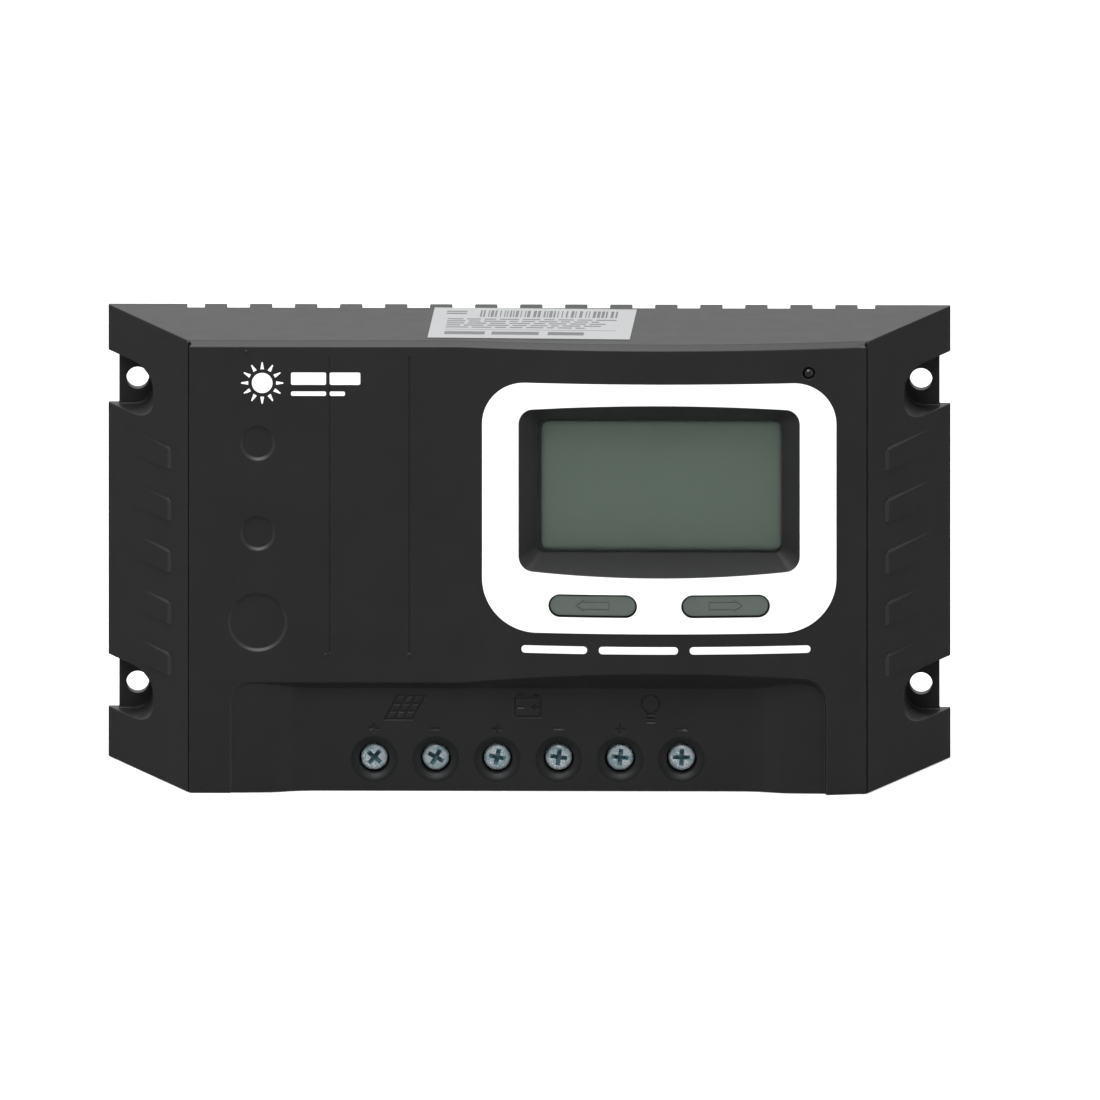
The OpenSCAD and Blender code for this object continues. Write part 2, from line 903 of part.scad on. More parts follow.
module terminal_block() {
    color([0.14, 0.14, 0.15])
        at_body()
            difference() {
                block([-block_w / 2, block_front_y, block_low_z],
                      [block_w / 2, main_board_y, block_high_z]);
                for (i = [1 : poles])
                    translate([pole_x(i), 0, 0]) {
                        block([-cell_w / 2, cell_front_y, cell_low_z],
                              [cell_w / 2, cell_back_y, cell_high_z]);
                        rod(0, screw_z, funnel_throat_r, block_front_y - eps, head_back_y);
                        rod(0, screw_z, screw_r + thread_gap, head_back_y - eps, cell_front_y + eps);
                        block([-entry_w / 2, entry_front_y, block_low_z - eps],
                              [entry_w / 2, entry_back_y, cell_low_z + eps]);
                        block([-contact_w / 2 - 0.1, cell_back_y - eps, cell_high_z - 1.3],
                              [contact_w / 2 + 0.1, main_board_y + eps, cell_high_z]);
                    }
            }
}

module terminal_contacts() {
    color([0.8, 0.66, 0.4])
        at_body()
            for (i = [1 : poles])
                translate([pole_x(i), 0, 0]) {
                    block([-contact_w / 2, contact_y, cell_low_z],
                          [contact_w / 2, contact_y + contact_t, cell_high_z]);
                    block([-contact_w / 2, contact_y, cell_high_z - 1.2],
                          [contact_w / 2, main_board_y, cell_high_z - 0.2]);
                    for (side = [-1, 1])
                        block([side * 2 - 0.6, main_board_y - 0.5, cell_high_z - 1.2],
                              [side * 2 + 0.6, main_board_back_y + 1, cell_high_z - 0.2]);
                }
}

module terminal_screw(i) {
    color([0.78, 0.8, 0.84])
        at_body()
            difference() {
                union() {
                    rod(pole_x(i), screw_z, screw_head_r, head_front_y, head_back_y);
                    rod(pole_x(i), screw_z, screw_r, head_back_y - 0.1, contact_y - 0.1);
                }
                for (turn = [0, 90])
                    translate([pole_x(i), head_front_y, screw_z])
                        rotate([0, turn + screw_turns[i - 1], 0])
                            cube([screw_head_r * 1.3, 2.2, 0.9], center = true);
            }
}

module wire_clamp(i) {
    color([0.72, 0.74, 0.76])
        at_body()
            difference() {
                translate([pole_x(i), 0, 0])
                    block([-clamp_w / 2, clamp_front_y, clamp_low_z],
                          [clamp_w / 2, clamp_back_y, clamp_high_z]);
                translate([pole_x(i), 0, 0])
                    block([-clamp_window_w / 2, clamp_front_y + clamp_plate_t, clamp_low_z - eps],
                          [clamp_window_w / 2, clamp_back_y - clamp_rear_t, clamp_high_z + eps]);
                rod(pole_x(i), screw_z, screw_r + thread_gap,
                    clamp_front_y - eps, clamp_front_y + clamp_plate_t + eps);
            }
}

// ---- Main board ----

module main_board() {
    color("darkgreen")
        at_body()
            difference() {
                block([-main_board_w / 2, main_board_y, main_board_low_z],
                      [main_board_w / 2, main_board_back_y, main_board_high_z]);
                both_sides()
                    for (z = spacer_z) rod(spacer_x, z, 1.6, main_board_y - eps, main_board_back_y + eps);
                for (i = [1 : poles])
                    for (side = [-1, 1])
                        block([pole_x(i) + side * 2 - 0.7, main_board_y - eps, cell_high_z - 1.3],
                              [pole_x(i) + side * 2 + 0.7, main_board_back_y + eps, cell_high_z - 0.1]);
                for (x = fet_x)
                    block([x - 3.2, main_board_y - eps, fet_z + 6.9],
                          [x + 3.2, main_board_back_y + eps, fet_z + 8.3]);
            }
}

module board_header() {
    color([0.13, 0.13, 0.13])
        at_body()
            translate([header_x, 0, header_z]) {
                block([-header_w / 2, header_split_y, -header_h / 2],
                      [header_w / 2, main_board_y, header_h / 2]);
                block([0.4 - header_w / 2, display_board_back_y, 0.3 - header_h / 2],
                      [header_w / 2 - 0.4, header_split_y, header_h / 2 - 0.3]);
            }
}

module can(x, z, r, h) {
    translate([x, main_board_y, z])
        rotate([90, 0, 0])
            rotate_extrude($fn = small_fn)
                polygon([
                    [0, 0], [r, 0], [r, 1.2], [r - 0.4, 1.6], [r - 0.4, 2], [r, 2.4],
                    [r, h - 0.6], [r - 0.6, h], [r - 1.4, h - 0.3], [0, h - 0.3]
                ]);
}

module bulk_capacitor() {
    color([0.1, 0.12, 0.2]) at_body() can(-31, 24, 8, 17.5);
}

module small_capacitors() {
    color([0.12, 0.14, 0.22])
        at_body()
            for (p = small_cans) can(p[0], p[1], 4, 11);
}

module driver_chips() {
    color([0.12, 0.12, 0.12])
        at_body()
            for (p = chips)
                translate([p[0], main_board_y, p[1]]) {
                    block([-2.5, -1.75, -2], [2.5, -0.15, 2]);
                    for (side = [-1, 1])
                        for (k = [0 : 3])
                            block([k * pin_pitch / 2 - 2.1, -0.5, side * 2.5 - 0.6],
                                  [k * pin_pitch / 2 - 1.7, 0, side * 2.5 + 0.6]);
                }
}

module shunt_resistors() {
    color([0.7, 0.6, 0.5])
        at_body()
            for (x = shunt_x) {
                block([x - 6, main_board_y - 5, shunt_z[0]], [x + 6, main_board_y - 3.8, shunt_z[1]]);
                for (side = [-1, 1])
                    block([x + side * 5.4 - 0.6, main_board_y - 4, shunt_z[0]],
                          [x + side * 5.4 + 0.6, main_board_y, shunt_z[1]]);
            }
}

module surge_diodes() {
    color([0.15, 0.15, 0.15])
        at_body()
            for (x = diode_x)
                translate([x, main_board_y - 3, diode_z]) {
                    rotate([0, 90, 0]) cylinder(r = 2.6, h = 9, center = true, $fn = small_fn);
                    rotate([0, 90, 0]) cylinder(r = 0.6, h = 15, center = true, $fn = small_fn);
                    for (side = [-1, 1]) block([side * 7 - 0.5, -0.5, -0.5], [side * 7 + 0.5, 3, 0.5]);
                }
}

module temperature_sensor() {
    color([0.2, 0.3, 0.5])
        at_body() {
            translate([sensor_x, main_board_y - 5, sensor_z]) sphere(r = 1.6, $fn = small_fn);
            for (side = [-1, 1])
                block([sensor_x + side * 0.8 - 0.25, main_board_y - 4.6, sensor_z - 0.25],
                      [sensor_x + side * 0.8 + 0.25, main_board_y, sensor_z + 0.25]);
        }
}

// ---- Power stage and heat sink ----

module transistors() {
    color([0.13, 0.13, 0.13])
        at_body()
            for (x = fet_x)
                translate([x, sink_y - pad_t, fet_z])
                    difference() {
                        union() {
                            block([-5, -fet_t, -4.6], [5, 0, 4.6]);
                            block([-5, -1.3, -10.6], [5, 0, -4.5]);
                            for (k = [-1, 0, 1]) {
                                block([k * pin_pitch - 0.4, -2.9, 4.5], [k * pin_pitch + 0.4, -2.4, 8]);
                                block([k * pin_pitch - 0.4, main_board_y - sink_y + pad_t - 0.8, 7.2],
                                      [k * pin_pitch + 0.4, -2.4, 8]);
                            }
                        }
                        rod(0, fet_hole_z - fet_z, 1.8, -fet_t, eps);
                    }
}

module transistor_screws() {
    color("silver")
        at_body()
            for (x = fet_x)
                difference() {
                    union() {
                        rod(x, fet_hole_z, 1.4, sink_y - pad_t - 1.4, sink_y + 2.4);
                        rod(x, fet_hole_z, 2.7, sink_y - pad_t - 3.3, sink_y - pad_t - 1.3);
                    }
                    for (turn = [0, 90])
                        translate([x, sink_y - pad_t - 3.3, fet_hole_z])
                            rotate([0, turn, 0]) cube([3, 2, 0.7], center = true);
                }
}

module insulating_pad() {
    color([0.7, 0.7, 0.72])
        at_body()
            difference() {
                block([fet_x[0] - 9, sink_y - pad_t, fet_z - 12], [fet_x[3] + 9, sink_y, fet_z + 6]);
                for (x = fet_x) rod(x, fet_hole_z, 1.6, sink_y - eps, sink_y + eps);
            }
}

module board_spacers() {
    color([0.8, 0.68, 0.4])
        at_body()
            both_sides()
                for (z = spacer_z)
                    difference() {
                        union() {
                            translate([spacer_x, sink_y, z])
                                rotate([90, 0, 0])
                                    cylinder(r = 3, h = sink_y - main_board_back_y, $fn = 6);
                            rod(spacer_x, z, 1.4, sink_y - 0.1, sink_y + 2.4);
                        }
                        rod(spacer_x, z, 1.3, main_board_back_y - eps, main_board_back_y + 5.5);
                    }
}

module board_screws() {
    color("silver")
        at_body()
            both_sides()
                for (z = spacer_z)
                    difference() {
                        union() {
                            rod(spacer_x, z, 1.25, main_board_y - 0.1, main_board_back_y + 5);
                            rod(spacer_x, z, 2.7, main_board_y - 2, main_board_y);
                        }
                        for (turn = [0, 90])
                            translate([spacer_x, main_board_y - 2, z])
                                rotate([0, turn, 0]) cube([3, 2, 0.7], center = true);
                    }
}

module heat_sink() {
    color([0.75, 0.76, 0.78])
        at_body()
            difference() {
                union() {
                    block([-sink_w / 2, sink_y, -sink_h / 2], [sink_w / 2, sink_back_y, sink_h / 2]);
                    for (i = [0 : fin_count - 1]) {
                        x = (i - (fin_count - 1) / 2) * fin_pitch;
                        block([x - fin_t / 2, sink_back_y - 0.1, -sink_h / 2],
                              [x + fin_t / 2, fin_end_y, sink_h / 2]);
                    }
                }
                both_sides() {
                    for (side = [-1, 1]) {
                        rod(housing_boss_x, side * housing_boss_z, 1.7, sink_y - eps, sink_back_y + eps);
                        rod(housing_boss_x, side * housing_boss_z, 3.4, sink_back_y, eps);
                    }
                    for (z = spacer_z) rod(spacer_x, z, 1.5, sink_y - eps, sink_y + 2.5);
                }
                for (x = fet_x) rod(x, fet_hole_z, 1.5, sink_y - eps, sink_y + 2.5);
                both_sides() at_wells() slab(sink_y - eps, eps) well_outline(well_wall + 0.4);
            }
}

module housing_screws() {
    color("silver")
        at_body()
            both_sides()
                for (side = [-1, 1])
                    pan_screw(housing_boss_x, side * housing_boss_z, 2.8, 2.2, 1.45, -22, sink_back_y);
}

module top_label() {
    color([0.76, 0.77, 0.78])
        at_body()
            translate([label_at[0], label_at[1], half_h])
                rotate(label_turn)
                    translate([-label_w / 2, -label_d / 2, 0]) cube([label_w, label_d, label_t]);
}

front_housing();
display_surround();
display_window();
lcd_bezel();
lcd_panel();
lcd_pins();
backlight();
display_board();
display_screws();
microcontroller();
status_led();
switch_bodies();
left_button();
right_button();
left_plunger();
right_plunger();
terminal_block();
terminal_contacts();
terminal_screw(1);  // terminal_screw_1
terminal_screw(2);  // terminal_screw_2
terminal_screw(3);  // terminal_screw_3
terminal_screw(4);  // terminal_screw_4
terminal_screw(5);  // terminal_screw_5
terminal_screw(6);  // terminal_screw_6
wire_clamp(1);  // wire_clamp_1
wire_clamp(2);  // wire_clamp_2
wire_clamp(3);  // wire_clamp_3
wire_clamp(4);  // wire_clamp_4
wire_clamp(5);  // wire_clamp_5
wire_clamp(6);  // wire_clamp_6
main_board();
board_header();
bulk_capacitor();
small_capacitors();
driver_chips();
shunt_resistors();
surge_diodes();
temperature_sensor();
transistors();
transistor_screws();
insulating_pad();
board_spacers();
board_screws();
heat_sink();
housing_screws();
top_label();
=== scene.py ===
"""Looks of the solar charge controller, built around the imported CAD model.

Metres, in the model's frame: X to the right, Y into the wall, Z up, and the origin at the
centre of the four mounting holes.
"""

import json
import math
import random

import bmesh
import bpy
from mathutils import Matrix, Vector


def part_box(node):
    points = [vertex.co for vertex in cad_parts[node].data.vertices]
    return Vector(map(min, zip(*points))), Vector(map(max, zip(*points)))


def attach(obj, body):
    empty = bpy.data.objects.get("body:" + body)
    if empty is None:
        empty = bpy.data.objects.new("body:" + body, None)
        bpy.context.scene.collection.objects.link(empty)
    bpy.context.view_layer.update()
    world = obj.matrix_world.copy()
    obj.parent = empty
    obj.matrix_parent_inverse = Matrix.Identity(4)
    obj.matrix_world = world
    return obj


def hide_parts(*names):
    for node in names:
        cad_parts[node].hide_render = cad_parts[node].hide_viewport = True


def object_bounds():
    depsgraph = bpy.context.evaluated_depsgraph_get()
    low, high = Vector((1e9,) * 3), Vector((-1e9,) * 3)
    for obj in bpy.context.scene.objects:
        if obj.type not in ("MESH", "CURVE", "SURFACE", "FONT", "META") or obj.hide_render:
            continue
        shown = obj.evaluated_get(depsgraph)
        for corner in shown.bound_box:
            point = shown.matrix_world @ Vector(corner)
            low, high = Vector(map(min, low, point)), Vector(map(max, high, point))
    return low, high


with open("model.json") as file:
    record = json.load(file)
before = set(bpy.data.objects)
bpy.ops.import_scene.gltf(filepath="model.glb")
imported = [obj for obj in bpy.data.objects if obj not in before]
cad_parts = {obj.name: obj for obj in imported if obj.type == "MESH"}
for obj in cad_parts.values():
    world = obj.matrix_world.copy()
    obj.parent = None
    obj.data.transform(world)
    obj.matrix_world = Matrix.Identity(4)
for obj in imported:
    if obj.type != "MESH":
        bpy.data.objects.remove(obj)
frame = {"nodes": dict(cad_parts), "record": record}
cad_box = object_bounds()

MM = 0.001
# Corners of a mesh nearer than this are one, in metres
WELD = 2e-6

# Driving sizes that the looks share with the CAD model, in millimetres from the housing's middle
MOUNT_RISE = 0.5
FACE_DEPTH = 41.0
CROWN_X, CROWN_W, CROWN_H = 29.2, 88.0, 4.2
CROWN_R = ((CROWN_W / 2) ** 2 + CROWN_H**2) / (2 * CROWN_H)
MOUNT_X, MOUNT_Z, MOUNT_R = 87.0, 34.5, 2.5
FLANK_X = 75.2
GROOVES_X = (-44.0, -26.3)
PIPS = ((-62.6, 48.9), (-44.9, -19.85), (-26.4, -19.85))
BUTTON_OFF, BUTTON_Z = 14.75, -7.9
SIGNS_X, SIGNS_Y, SIGNS_Z = (-34, 34), (-38.4, -37.9), (-39.5, -28.5)
RIBS_X, RIBS_Z = (79, 90), (-27.5, 25.9)
FLANGE_T = 4
ARROW_HALF_W, ARROW_HALF_H = 4.4, 1.6
# The label's turn in degrees
LABEL_TURN = -2.3
# The visible display: shift from its frame's middle, half width and height, width of the shaded rim
LCD_SHIFT, LCD_HALF_W, LCD_HALF_H, LCD_RIM = 0.45, 26.65, 14.5, 1.3
# How near to the face, a groove, a crease, a hole's rim or a pip an edge still belongs to it
FACE_NEAR, GROOVE_NEAR, CREASE_NEAR, HOLE_NEAR, PIP_NEAR = 0.8, 0.4, 1.0, 0.1, 0.6

# Terminal screws, with the turn of each one's recess in degrees
POLES, POLE_PITCH, SCREW_Z = 6, 13.65, -44.0
SCREW_HEAD_R, SCREW_R, SCREW_HEAD_T = 3.0, 1.75, 1.8
SCREW_DOME = ((0, 0), (1.9, 0), (2.55, 0.08), (2.84, 0.25), (SCREW_HEAD_R, 0.55))
SCREW_THREAD = {"pitch": 0.8, "deep": 0.28}
SCREW_RECESS = {"size": 2.05, "depth": 1.35}
SCREW_TURNS = (40, 30, 12, 8, 6, 2)
WELL_R = 5.6

# Pan head screws: half spacings, head radius and height, shank radius and pitch
HOUSING_SCREWS = {"half_x": 71.5, "low_z": -42.5, "high_z": 42.5, "head": (2.8, 2.2), "shank": (1.45, 0.9)}
DISPLAY_SCREWS = {"half_x": 36.5, "low_z": -11.5, "high_z": 36.0, "head": (2.2, 1.5), "shank": (1.0, 0.7)}

# White marks on the front, as places and sizes in X and Z; the bars are x0, x1, z0, z1
PRINT_SINK, PRINT_LIFT, PRINT_STEP = 0.01, 0.04, 1.5
SUN_X, SUN_Z, SUN_R, SUN_RAYS = -59.0, 41.8, 2.3, 12
RAY_FROM, RAY_TO, RAY_BASE, RAY_TIP = 3.1, 4.7, 0.42, 0.12
SIGN_BARS = ((-52.6, -44.8, 41.4, 44.2), (-44.0, -37.2, 41.4, 44.2), (-52.6, -44.8, 38.9, 39.9),
             (-44.0, -40.6, 38.9, 39.9))
SIGN_CORNER_R, LINE_CORNER_R = 0.35, 0.8
LINE_BARS = ((-1.4, 13.2, -18.8, -17.1), (15.8, 33.4, -18.8, -17.1), (36.0, 62.8, -18.8, -17.1))

# Dark print on the top label, in X and Y from its centre
CODE_X, CODE_Y = (-12.0, 18.5), (6.5, 13.5)
DASH_X, DASH_SHORTER, DASH_H, DASH_GAP = (-19.0, 16.0), 1.2, 0.9, 0.8
DASH_ROWS = (3.6, 1.4, -0.8, -3.0, -5.2)
LABEL_BARS = ((-19.0, 19.0, -7.4, -7.15), (-19, -10, -12.6, -9.4), (-8.5, 2, -12.6, -9.4),
              (4, 12, -12.6, -9.4), (-19.5, -15.0, 9.4, 10.5), (-19.5, -15.0, 11.6, 12.7))

MATERIAL_SLOTS = {s["node"]: s["material_slot"] for s in frame["record"]["subparts"]}
BODY_OF = {
    node: body
    for body, nodes in frame["record"]["behaviour"]["bodies"].items()
    for node in nodes
}
ROOT = "controller"

# CAD nodes shown with rounded edges: the node, its piece, the radius in millimetres and its steps
ROUNDED = (
    ("display_surround", "white_surround", 0.08, 2),
    ("display_window", "clear_pane", 0.08, 2),
    ("lcd_bezel", "display_frame", 0.06, 2),
    ("lcd_panel", "display_cell", 0.15, 2),
    ("backlight", "light_plate", 0.15, 2),
    ("status_led", "status_lamp", 0.12, 2),
    ("terminal_block", "clamp_block", 0.15, 2),
    ("terminal_contacts", "contact_blades", 0.08, 2),
    ("display_board", "front_circuit", 0.06, 1),
    ("main_board", "main_circuit", 0.06, 1),
    ("microcontroller", "processor", 0.05, 1),
    ("driver_chips", "chip_packages", 0.05, 1),
    ("board_header", "pin_header", 0.05, 1),
    ("bulk_capacitor", "bulk_can", 0.3, 3),
    ("small_capacitors", "small_cans", 0.25, 3),
    ("shunt_resistors", "shunt_strips", 0.08, 1),
    ("surge_diodes", "diode_bodies", 0.1, 1),
    ("transistors", "transistor_packages", 0.1, 1),
    ("switch_bodies", "switch_cases", 0.1, 2),
    ("heat_sink", "finned_plate", 0.2, 2),
    ("top_label", "rating_film", 0.04, 1),
)
# Radii of the nodes that are rounded by a line of their own below
HOUSING_ROUND, KEY_CAP_ROUND, CAGE_ROUND = 0.22, 0.3, 0.25

# Edges bent by more than this are rounded, or kept crisp by the shading, in degrees
ROUND_ABOVE, CRISP_ABOVE = 25, 32

# Studio, in metres: the floor's half width and its gap below the model
FLOOR_HALF, FLOOR_GAP = 14, 0.0001
# Strength of the surroundings: all round, and more behind, above and beside
DIM_LEVEL, BACK_LEVEL, TOP_LEVEL, SIDE_LEVEL = 0.1, 0.8, 0.45, 0.62
# Softboxes aimed at the origin: place, width and height, power in watts
SOFTBOXES = {
    "overhead": ((-0.15, -0.15, 1.1), (1.7, 1.3), 16),
    "front": ((-0.25, -1.0, 1.0), (1.0, 0.8), 10.5),
}
# Camera: height and turn in degrees, target and view width in millimetres, distance in metres
CAMERA_RISE, CAMERA_TURN = 11.8, 0.53
CAMERA_TARGET, CAMERA_WIDTH, CAMERA_AWAY = (4.55, 0, -5.04), 244.3, 1.2


# ---------------------------------------------------------------- materials


class Shader:
    """A material with a Principled shader and short calls for its node tree."""

    def __init__(self, name):
        self.mat = bpy.data.materials.new(name)
        self.mat.use_nodes = True
        self.tree = self.mat.node_tree
        self.bsdf = self.tree.nodes["Principled BSDF"]
        self.coords = self.tree.nodes.new("ShaderNodeTexCoord").outputs["Object"]

    def node(self, kind, **inputs):
        made = self.tree.nodes.new("ShaderNode" + kind)
        for key, value in inputs.items():
            name = key.replace("_", " ")
            if isinstance(value, bpy.types.NodeSocket):
                self.tree.links.new(value, made.inputs[name])
            else:
                made.inputs[name].default_value = value
        return made

    def link(self, output, target):
        self.tree.links.new(output, self.bsdf.inputs[target])

    def set(self, **values):
        for key, value in values.items():
            self.bsdf.inputs[key.replace("_", " ")].default_value = value
        return self

    def noise(self, size_mm, detail=2.0, stretch=(1, 1, 1), roughness=0.5):
        mapping = self.node("Mapping", Vector=self.coords)
        mapping.inputs["Scale"].default_value = stretch
        made = self.node(
            "TexNoise", Vector=mapping.outputs["Vector"], Scale=1 / (size_mm * MM),
            Detail=detail, Roughness=roughness,
        )
        return made.outputs["Fac"]

    def spread(self, value, low, high, at=(0.3, 0.7)):
        made = self.node("MapRange", Value=value)
        made.inputs["From Min"].default_value = at[0]
        made.inputs["From Max"].default_value = at[1]
        made.inputs["To Min"].default_value = low
        made.inputs["To Max"].default_value = high
        return made.outputs["Result"]

    def blend(self, factor, low, high):
        made = self.tree.nodes.new("ShaderNodeMix")
        made.data_type = "RGBA"
        colours = [s for s in made.inputs if s.type == "RGBA"]
        for socket, value in zip(colours, (low, high)):
            if isinstance(value, bpy.types.NodeSocket):
                self.tree.links.new(value, socket)
            else:
                socket.default_value = (*value, 1)
        self.tree.links.new(factor, made.inputs[0])
        return next(s for s in made.outputs if s.type == "RGBA")

    def math(self, operation, a, b=0.0):
        made = self.tree.nodes.new("ShaderNodeMath")
        made.operation = operation
        for socket, value in zip(made.inputs, (a, b)):
            if isinstance(value, bpy.types.NodeSocket):
                self.tree.links.new(value, socket)
            else:
                socket.default_value = value
        return made.outputs[0]

    def soft_normal(self, radius_mm):
        """The surface's direction as if its edges were rounded."""
        soft = self.node("Bevel", Radius=radius_mm * MM)
        soft.samples = 4
        return soft.outputs["Normal"]

    def bump(self, height, depth_mm, round_mm=0.0):
        """Surface relief from height, over edges rounded by round_mm."""
        made = self.node("Bump", Height=height, Strength=1.0, Distance=depth_mm * MM)
        if round_mm:
            self.tree.links.new(self.soft_normal(round_mm), made.inputs["Normal"])
        self.link(made.outputs["Normal"], "Normal")

    def edge_mask(self, radius_mm):
        """1 on sharp outer and inner edges, 0 on flat stretches."""
        dot = self.tree.nodes.new("ShaderNodeVectorMath")
        dot.operation = "DOT_PRODUCT"
        self.tree.links.new(self.soft_normal(radius_mm), dot.inputs[0])
        self.tree.links.new(self.node("NewGeometry").outputs["Normal"], dot.inputs[1])
        return self.spread(dot.outputs["Value"], 1.0, 0.0, at=(0.82, 0.985))

    def mix(self, first, second, share):
        """A weighted sum of two values; share is the first one's weight."""
        parts = self.math("MULTIPLY", first, share), self.math("MULTIPLY", second, 1 - share)
        return self.math("ADD", *parts)


def plastic(name, tone, tone_spread=0.15, rough=(0.42, 0.52), grain_mm=0.22, grain_depth=0.012,
            specular=0.3, wear=0.0, round_mm=0.25):
    """Moulded plastic with an eroded-mould grain, faint mottling and lighter rubbed edges."""
    s = Shader(name)
    cloud = s.noise(14, detail=4)
    grain = s.noise(grain_mm, detail=3, roughness=0.6)
    dark = tuple(c * (1 - tone_spread) for c in tone)
    light = tuple(min(1, c * (1 + tone_spread)) for c in tone)
    colour = s.blend(s.spread(s.mix(cloud, grain, 0.7), 0, 1, at=(0.35, 0.65)), dark, light)
    if wear:
        scuffs = s.spread(s.noise(2.4, detail=6, roughness=0.7), 0, wear, at=(0.42, 0.75))
        colour = s.blend(s.math("MULTIPLY", s.edge_mask(0.35), scuffs), colour,
                         tuple(min(1, 0.05 + c * 2.2) for c in tone))
    s.link(colour, "Base Color")
    s.link(s.spread(s.mix(s.noise(5, detail=5), grain, 0.6), *rough), "Roughness")
    s.bump(grain, grain_depth, round_mm=round_mm)
    return s.set(Specular_IOR_Level=specular, IOR=1.5).mat


def metal(name, tone, rough=(0.22, 0.38), brush=(1, 1, 1), brush_mm=0.3, brush_depth=0.006,
          tint=None, spots=0.0, round_mm=0.12, metallic=1.0):
    """Bare or plated metal with a drawn or tumbled surface."""
    s = Shader(name)
    lines = s.noise(brush_mm, detail=4, stretch=brush, roughness=0.65)
    cloud = s.noise(3.5, detail=5, roughness=0.6)
    dark = tuple(c * 0.82 for c in tone)
    colour = s.blend(s.spread(cloud, 0, 1, at=(0.35, 0.65)), dark, tone)
    if tint:
        colour = s.blend(s.spread(s.noise(1.6, detail=2), 0, 0.8, at=(0.45, 0.65)), colour, tint)
    if spots:
        colour = s.blend(s.spread(s.noise(0.5, detail=2), 0, spots, at=(0.62, 0.7)), colour,
                         tuple(c * 0.45 for c in tone))
    s.link(colour, "Base Color")
    s.link(s.spread(s.mix(lines, cloud, 0.6), *rough), "Roughness")
    s.bump(lines, brush_depth, round_mm=round_mm)
    return s.set(Metallic=metallic).mat


def gloss(name, tone, tone_spread=0.03, rough=(0.12, 0.2), ripple_mm=6, ripple_depth=0.01):
    """Smooth glossy film or lacquer with a faint orange-peel ripple."""
    s = Shader(name)
    ripple = s.noise(ripple_mm, detail=3)
    fine = s.noise(0.6, detail=2)
    low = tuple(c * (1 - tone_spread) for c in tone)
    s.link(s.blend(s.spread(ripple, 0, 1), low, tone), "Base Color")
    s.link(s.spread(fine, *rough), "Roughness")
    s.bump(ripple, ripple_depth, round_mm=0.1)
    return s.set(Specular_IOR_Level=0.5).mat


def circuit_board(name):
    """Green solder mask over copper tracks and vias, as a procedural pattern."""
    s = Shader(name)
    tracks = s.node("TexBrick", Vector=s.coords, Scale=1 / (9 * MM))
    tracks.inputs["Mortar Size"].default_value = 0.03
    tracks.inputs["Brick Width"].default_value = 0.8
    tracks.inputs["Row Height"].default_value = 0.18
    dots = s.node("TexVoronoi", Vector=s.coords, Scale=1 / (4.5 * MM))
    via = s.spread(dots.outputs["Distance"], 1, 0, at=(0.08, 0.1))
    mask = s.blend(s.spread(s.noise(8, detail=3), 0, 1), (0.008, 0.075, 0.03), (0.012, 0.1, 0.042))
    colour = s.blend(s.spread(tracks.outputs["Fac"], 0, 1, at=(0.2, 0.8)), mask, (0.03, 0.19, 0.08))
    colour = s.blend(via, colour, (0.6, 0.58, 0.5))
    s.link(colour, "Base Color")
    s.link(s.spread(s.noise(1.2, detail=3), 0.25, 0.38), "Roughness")
    s.bump(s.math("ADD", tracks.outputs["Fac"], via), 0.03)
    return s.set(Specular_IOR_Level=0.5).mat


def liquid_crystal(name):
    """The unlit reflective display: grey-green, with a fine cell texture and a shaded rim."""
    s = Shader(name)
    low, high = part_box("lcd_bezel")
    centre = (Vector(low) + Vector(high)) / 2
    parts = s.node("SeparateXYZ", Vector=s.coords)
    edges = []
    for axis, middle, half in (("X", centre.x + LCD_SHIFT * MM, LCD_HALF_W), ("Z", centre.z, LCD_HALF_H)):
        away = s.math("ABSOLUTE", s.math("SUBTRACT", parts.outputs[axis], middle))
        edges.append(s.spread(away, 0, 1, at=((half - LCD_RIM) * MM, half * MM)))
    rim = s.math("POWER", s.math("MAXIMUM", *edges), 1.6)
    cells = s.noise(0.35, detail=2)
    glass = s.blend(s.spread(s.noise(30, detail=2), 0, 1), (0.076, 0.107, 0.085), (0.082, 0.118, 0.093))
    glass = s.blend(s.spread(cells, 0, 0.12), glass, (0.05, 0.075, 0.058))
    s.link(s.blend(s.math("MULTIPLY", rim, 0.75), glass, (0.02, 0.028, 0.023)), "Base Color")
    s.link(s.spread(cells, 0.35, 0.45), "Roughness")
    s.bump(cells, 0.002)
    return s.set(Specular_IOR_Level=0.25).mat


def clear_window(name):
    """Clear acrylic that is seen only by its faint reflections."""
    s = Shader(name)
    s.link(s.spread(s.noise(9, detail=3), 0.05, 0.1), "Roughness")
    s.link(s.blend(s.noise(20), (0.1, 0.11, 0.105), (0.13, 0.14, 0.135)), "Base Color")
    s.bump(s.noise(12, detail=1), 0.01)
    return s.set(Alpha=0.08, Specular_IOR_Level=0.5).mat


